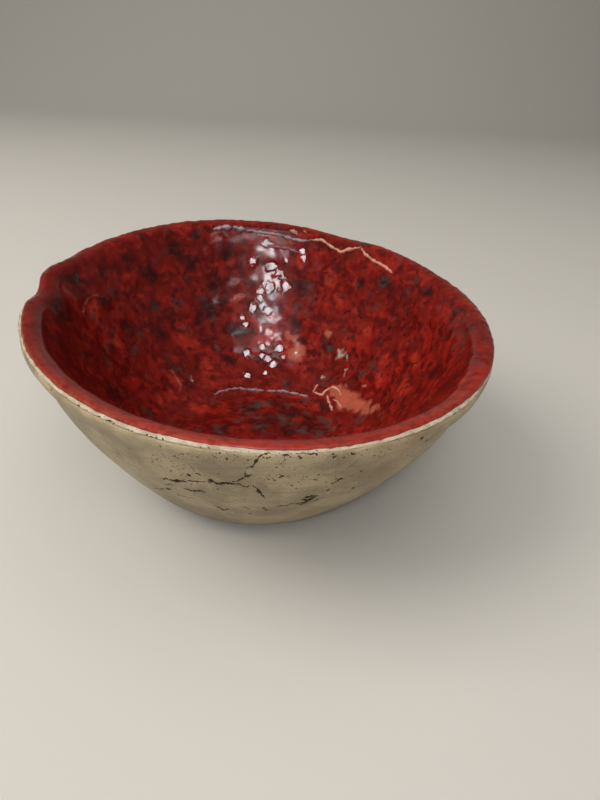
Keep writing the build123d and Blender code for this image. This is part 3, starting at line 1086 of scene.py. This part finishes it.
class Paint:
    """A material's node tree, with short ways to add nodes. Its colours are laid one over
    the other on a base colour."""

    def __init__(self, name, base):
        self.material = bpy.data.materials.new(name)
        self.material.use_nodes = True
        self.nodes = self.material.node_tree.nodes
        self.place = self.add("TexCoord", "Object", {})
        self.base = base

    def feed(self, socket, value):
        """Links a value that comes from a node, or sets a plain one."""
        if isinstance(value, bpy.types.NodeSocket):
            self.material.node_tree.links.new(value, socket)
        elif socket.type == "RGBA":
            socket.default_value = (*value, 1)
        else:
            socket.default_value = value

    def add(self, kind, output, inputs, **settings):
        """Adds a node with its settings and inputs, and gives one of its outputs."""
        node = self.nodes.new("ShaderNode" + kind)
        for name, value in settings.items():
            setattr(node, name, value)
        for name, value in inputs.items():
            self.feed(node.inputs[name], value)
        return node.outputs[output]

    def stretched(self, scale):
        """The place, scaled along each axis."""
        return self.add("Mapping", "Vector", {"Vector": self.place, "Scale": scale})

    def noise(self, size, detail=3.0, roughness=0.55, distortion=0.0, vector=None):
        """A noise texture whose features are size metres across."""
        return self.add("TexNoise", "Fac", {
            "Vector": vector or self.place,
            "Scale": 1 / size,
            "Detail": detail,
            "Roughness": roughness,
            "Distortion": distortion,
        })

    def cells(self, size):
        """The distance from the middle of the nearest of cells, size metres across."""
        return self.add("TexVoronoi", "Distance", {"Vector": self.place, "Scale": 1 / size})

    def painted(self, label):
        """The value that the mesh has painted on it under a label."""
        return self.add("Attribute", "Fac", {}, attribute_name=label)

    def range(self, value, low, high, start=0.0, end=1.0):
        """Maps a value from low and high to start and end, smoothly and clamped."""
        inputs = {"Value": value, "From Min": low, "From Max": high, "To Min": start, "To Max": end}
        return self.add("MapRange", "Result", inputs, interpolation_type="SMOOTHSTEP")

    def clouds(self, noise, *limits):
        """A noise texture, given by its size, detail and so on, mapped to a range."""
        return self.range(self.noise(*noise), *limits)

    def combined(self, operation, first, second):
        """What an operation makes of two values, clamped."""
        inputs = {0: first, 1: second}
        return self.add("Math", 0, inputs, operation=operation, use_clamp=True)

    def times(self, first, second):
        """The product of two values, clamped."""
        return self.combined("MULTIPLY", first, second)

    def ragged(self, label, noise, *limits):
        """A painted value, broken up by clouds."""
        return self.times(self.painted(label), self.clouds(noise, *limits))

    def mix(self, share, first, second):
        """A colour between two others."""
        return self.add("Mix", 2, {"Factor": share, 6: first, 7: second}, data_type="RGBA")

    def between(self, share, first, second):
        """A plain value between two others."""
        return self.add("Mix", 0, {"Factor": share, 2: first, 3: second})

    def bump(self, height, distance, strength, normal=None):
        """A normal with a relief, on top of another one's."""
        inputs = {"Strength": strength, "Distance": distance, "Height": height}
        if normal is not None:
            inputs["Normal"] = normal
        return self.add("Bump", "Normal", inputs)

    def lay(self, colour, cover, share=None):
        """Lays a colour over the base colour where the cover is, as far as share."""
        cover = cover if share is None else self.times(cover, share)
        self.base = self.mix(cover, self.base, colour)

    def finish(self, **values):
        """Gives the shader its colour and its other inputs, and returns the material."""
        shader = self.nodes["Principled BSDF"]
        for name, value in {"Base_Color": self.base, **values}.items():
            self.feed(shader.inputs[name.replace("_", " ")], value)
        return self.material


def coat_material():
    """Burnished grey-beige slip: satin, faintly mottled, flecked, dark in its cracks."""
    paint = Paint("sigillata_slip", (0.250, 0.188, 0.102))
    paint.lay((0.428, 0.332, 0.194), paint.clouds((20 * MM, 4), 0.38, 0.64))
    paint.lay((0.450, 0.360, 0.225), paint.clouds((6 * MM, 4, 0.6), 0.45, 0.70), 0.68)
    level = paint.stretched((1, 1, 7))
    streaks = paint.range(paint.noise(9 * MM, 3, 0.6, vector=level), 0.52, 0.72)
    paint.lay((0.200, 0.150, 0.086), streaks, 0.60)
    grain = paint.noise(0.7 * MM, 3, 0.7)
    paint.lay((0.150, 0.112, 0.065), paint.range(grain, 0.3, 0.7, 0.0, 0.22))
    paint.lay((0.340, 0.170, 0.110), paint.painted("blush"), 0.30)
    fleck_size = paint.clouds((13 * MM, 2), 0.40, 0.62, 0.05, 0.15)
    flecks = paint.combined("LESS_THAN", paint.cells(1.4 * MM), fleck_size)
    flecks = paint.times(flecks, paint.clouds((3 * MM, 1), 0.45, 0.6))
    pepper = paint.clouds((0.6 * MM, 1, 0.5), 0.64, 0.70)
    pepper = paint.times(pepper, paint.clouds((9 * MM, 2), 0.42, 0.62))
    paint.lay((0.055, 0.036, 0.020), paint.combined("MAXIMUM", flecks, pepper), 0.8)
    paint.lay((0.420, 0.370, 0.300), paint.painted("chip"), 0.55)
    stain = paint.painted("stain")
    paint.lay((0.130, 0.080, 0.040), paint.range(stain, 0.02, 0.4, 0.0, 0.6))
    stain = paint.range(stain, 0.2, 0.75)
    paint.lay((0.036, 0.021, 0.011), stain)
    rough = paint.between(stain, paint.clouds((6 * MM, 3), 0.3, 0.7, 0.42, 0.58), 0.85)
    fine = paint.bump(grain, 0.05 * MM, 0.5)
    normal = paint.bump(paint.noise(2.4 * MM, 3, 0.6), 0.14 * MM, 0.5, fine)
    return paint.finish(Roughness=rough, Normal=normal, Specular_IOR_Level=0.45)


def band_material():
    """Cream slip on the lip, glossier than the wall and bitten by dark specks."""
    paint = Paint("cream_rim_slip", (0.360, 0.300, 0.200))
    paint.lay((0.560, 0.490, 0.370), paint.clouds((4 * MM, 4), 0.3, 0.7))
    paint.lay((0.46, 0.22, 0.16), paint.clouds((9 * MM, 3), 0.55, 0.7, 0.0, 0.35))
    stain = paint.range(paint.painted("stain"), 0.3, 0.8)
    paint.lay((0.022, 0.014, 0.010), stain)
    rough = paint.between(stain, paint.clouds((2 * MM, 2), 0.3, 0.7, 0.30, 0.45), 0.8)
    normal = paint.bump(paint.noise(0.9 * MM, 3), 0.06 * MM, 0.5)
    return paint.finish(Roughness=rough, Normal=normal)


def glaze_material():
    """Thick red glaze: clotted reds with dark specks and greenish-grey blotches."""
    paint = Paint("red_glaze", (0.092, 0.0044, 0.0032))
    dull_red = (0.085, 0.0050, 0.0035)
    broad = paint.clouds((24 * MM, 3), 0.35, 0.65)
    paint.lay((0.140, 0.0062, 0.0040), broad)
    bright = paint.mix(broad, (0.225, 0.0100, 0.0055), (0.270, 0.0140, 0.0075))
    paint.lay(bright, paint.clouds((6.0 * MM, 1.2, 0.42, 0.25), 0.36, 0.64))
    paint.lay(dull_red, paint.clouds((12 * MM, 2, 0.5), 0.40, 0.62, 0.0, 0.6))
    paint.lay((0.400, 0.028, 0.014), paint.ragged("swelling", (3 * MM, 3), 0.3, 0.6, 0.3, 0.8))
    paint.lay((0.420, 0.026, 0.016), paint.clouds((3.6 * MM, 1, 0.4, 0.2), 0.52, 0.70), 0.26)
    # Dark clots, and painted shade where the inside lies in shadow
    paint.lay((0.034, 0.0048, 0.0040), paint.ragged("dark", (3.8 * MM, 2, 0.5), 0.3, 0.6, 0.4, 1.0))
    clumps = paint.clouds((8 * MM, 3), 0.42, 0.60)
    clumps = paint.times(clumps, paint.range(paint.painted("plain"), 0, 1, 1.0, 0.45))
    soft_specks = paint.clouds((3.8 * MM, 1, 0.4, 0.15), 0.52, 0.66)
    soft_specks = paint.times(soft_specks, paint.range(clumps, 0, 1, 0.10, 0.62))
    paint.lay((0.045, 0.0045, 0.0040), soft_specks)
    specks = paint.clouds((2.5 * MM, 0.5, 0.4, 0.15), 0.58, 0.70)
    paint.lay((0.020, 0.0055, 0.0055), paint.times(specks, paint.range(clumps, 0, 1, 0.2, 0.75)))
    haze = paint.times(paint.clouds((11 * MM, 2, 0.5), 0.58, 0.70), 0.6)
    blotch = paint.combined("MAXIMUM", haze, paint.painted("blotch"))
    blotch = paint.times(blotch, paint.clouds((3.4 * MM, 2, 0.4), 0.38, 0.60))
    paint.lay((0.046, 0.038, 0.032), blotch, 0.85)
    paint.lay((0.370, 0.032, 0.020), paint.ragged("thin", (2.6 * MM, 3), 0.3, 0.6, 0.35, 1.0), 0.7)
    paint.lay((0.270, 0.085, 0.055), paint.ragged("rosy", (2.6 * MM, 3), 0.4, 0.6, 0.1, 0.5))
    paint.lay(dull_red, paint.painted("shade"), 0.8)
    paint.lay((0.370, 0.085, 0.045), paint.ragged("worn", (4 * MM, 2), 0.38, 0.62, 0.1, 0.8))
    paint.lay((0.390, 0.092, 0.052), paint.painted("patch"), 0.70)
    paint.lay((0.520, 0.200, 0.130), paint.ragged("patch", (2.4 * MM, 2, 0.5, 2.5), 0.53, 0.62), 0.2)
    paint.lay((0.640, 0.340, 0.230), paint.painted("vein"), 0.85)
    # Painted highlight: pale grey along the ridges, where they would mirror the lamps
    paint.lay((0.370, 0.320, 0.350), paint.painted("painted_highlight"))
    paint.lay((0.450, 0.430, 0.340), paint.painted("green"), 0.85)
    rough = paint.clouds((5 * MM, 2), 0.3, 0.7, 0.14, 0.20)
    rough = paint.between(paint.painted("thin"), rough, 0.26)
    fine = paint.bump(paint.noise(0.9 * MM, 1, 0.5), 0.005 * MM, 0.5)
    normal = paint.bump(paint.noise(3.4 * MM, 1, 0.5), 0.030 * MM, 0.6, fine)
    return paint.finish(Roughness=rough, Normal=normal, Specular_IOR_Level=0.34)


def clay_material(name, light, dark, grog):
    """Fired clay, rough and grogged."""
    paint = Paint(name, dark)
    paint.lay(light, paint.clouds((9 * MM, 4), 0.35, 0.65))
    paint.lay((0.30, 0.25, 0.18), paint.range(paint.cells(grog), 0.16, 0.30, 1.0, 0.0), 0.45)
    paint.lay((0.030, 0.020, 0.013), paint.clouds((0.8 * MM, 3, 0.7), 0.56, 0.68), 0.6)
    normal = paint.bump(paint.noise(0.9 * MM, 4, 0.7), 0.18 * MM, 0.7)
    return paint.finish(Roughness=paint.clouds((3 * MM, 2), 0.3, 0.7, 0.72, 0.90), Normal=normal)


def stage_material():
    """A plain pale floor."""
    return Paint("pale_floor", (0.55, 0.52, 0.47)).finish(Roughness=0.85)


def dress(piece, material, slot, *nodes):
    """Gives a piece its finish and puts it in place of its CAD nodes."""
    piece.data.materials.append(material)
    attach(piece, "root")
    if nodes:
        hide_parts(*nodes)


def finish_node(name, material):
    """Gives a CAD node that stays its finish."""
    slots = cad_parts[name].data.materials
    slots.clear()
    slots.append(material)


def make_stage():
    """A pale floor that rises softly into a backdrop behind the bowl."""
    half_width, front, back, bend, top = 2.4, -2.4, 1.9, 0.7, 2.4
    profile = [(front, 0.0), (back - bend, 0.0)]
    for step in range(1, 17):
        angle = math.pi / 2 * step / 16
        profile.append((back - bend + bend * math.sin(angle), bend - bend * math.cos(angle)))
    profile.append((back, top))
    points, faces = [], []
    for y, z in profile:
        points += [(-half_width, y, z), (half_width, y, z)]
    for index in range(len(profile) - 1):
        start = 2 * index
        faces.append((start, start + 1, start + 3, start + 2))
    stage = build_piece("studio_floor", points, faces, {})
    stage.data.materials.append(stage_material())


def make_lamp(name, place, target, size, watts, colour, mirrored):
    """A rectangular soft lamp that points at a target, mirrored in gloss or not."""
    light = bpy.data.lights.new(name, "AREA")
    light.shape = "RECTANGLE"
    light.size, light.size_y = size
    light.energy = watts
    light.color = colour
    lamp = bpy.data.objects.new(name, light)
    lamp.location = place
    lamp.rotation_euler = (Vector(target) - Vector(place)).to_track_quat("-Z", "Y").to_euler()
    lamp.visible_glossy = mirrored
    bpy.context.scene.collection.objects.link(lamp)


def make_lights():
    """Soft light from the upper left and above, a tall lamp and a dim panel behind the
    camera for the glaze to mirror, and a dim world."""
    warm, cool = (1.0, 0.98, 0.95), (0.93, 0.96, 1.0)
    make_lamp("key", (-0.95, -0.10, 1.05), (0, 0, 0.03), (0.9, 0.9), 15, warm, False)
    make_lamp("above", (0.15, 0.1, 1.6), (0, 0, 0.03), (1.6, 1.6), 9, warm, False)
    make_lamp("fill", (0.7, -1.0, 0.8), (0, 0, 0.03), (1.0, 1.0), 2.1, warm, False)
    make_lamp("window", WINDOW_PLACE, (0, 0.08, 0.05), (0.14, 0.20), 3.3, cool, True)
    make_lamp("strip", (-0.08, -0.74, 1.06), (0, 0.05, 0.05), (1.0, 0.07), 1.8, cool, True)
    make_lamp("panel", (-0.25, -1.05, 0.90), (0, 0, 0.05), (1.5, 0.8), 1.1, cool, True)
    world = bpy.data.worlds.new("studio")
    world.use_nodes = True
    nodes, links = world.node_tree.nodes, world.node_tree.links
    background = nodes["Background"]
    background.inputs["Color"].default_value = (1.0, 0.985, 0.96, 1)
    background.inputs["Strength"].default_value = 0.12
    # Past the edge of the floor the camera sees a plain pale grey
    beyond = nodes.new("ShaderNodeBackground")
    beyond.inputs["Color"].default_value = (0.36, 0.345, 0.32, 1)
    rays, shown = nodes.new("ShaderNodeLightPath"), nodes.new("ShaderNodeMixShader")
    links.new(rays.outputs["Is Camera Ray"], shown.inputs["Fac"])
    links.new(background.outputs["Background"], shown.inputs[1])
    links.new(beyond.outputs["Background"], shown.inputs[2])
    links.new(shown.outputs["Shader"], nodes["World Output"].inputs["Surface"])
    bpy.context.scene.world = world


def make_camera():
    """The camera at the photograph's place and angle."""
    right, up, forward = camera_axes()
    data = bpy.data.cameras.new("camera")
    data.sensor_width = SENSOR_MM
    data.lens = SENSOR_MM * FOCAL_PX / IMAGE_LONG_SIDE_PX
    data.clip_start = 0.01
    camera = bpy.data.objects.new("camera", data)
    turned = Matrix((right, up, -forward)).transposed().to_4x4()
    camera.matrix_world = Matrix.Translation(CAMERA_PLACE) @ turned
    bpy.context.scene.collection.objects.link(camera)
    bpy.context.scene.camera = camera


def main():
    clay = clay_material("fired_clay", (0.190, 0.140, 0.095), (0.105, 0.075, 0.050), 2.6 * MM)
    joint = clay_material("fired_luting_slip", (0.230, 0.180, 0.125), (0.150, 0.115, 0.080), 1.2 * MM)
    dress(make_coat(), coat_material(), "sigillata", "sigillata_coat")
    dress(make_band(), band_material(), "rim_slip", "rim_slip")
    dress(make_glaze(), glaze_material(), "glaze", "glaze_lining")
    dress(make_wall(), clay, "clay", "wall")
    dress(make_foot(), clay, "clay", "base_slab")
    finish_node("corner_coil", clay)
    finish_node("luting_slip", joint)
    make_stage()
    make_lights()
    make_camera()
    bpy.context.scene.view_settings.view_transform = "Standard"


main()
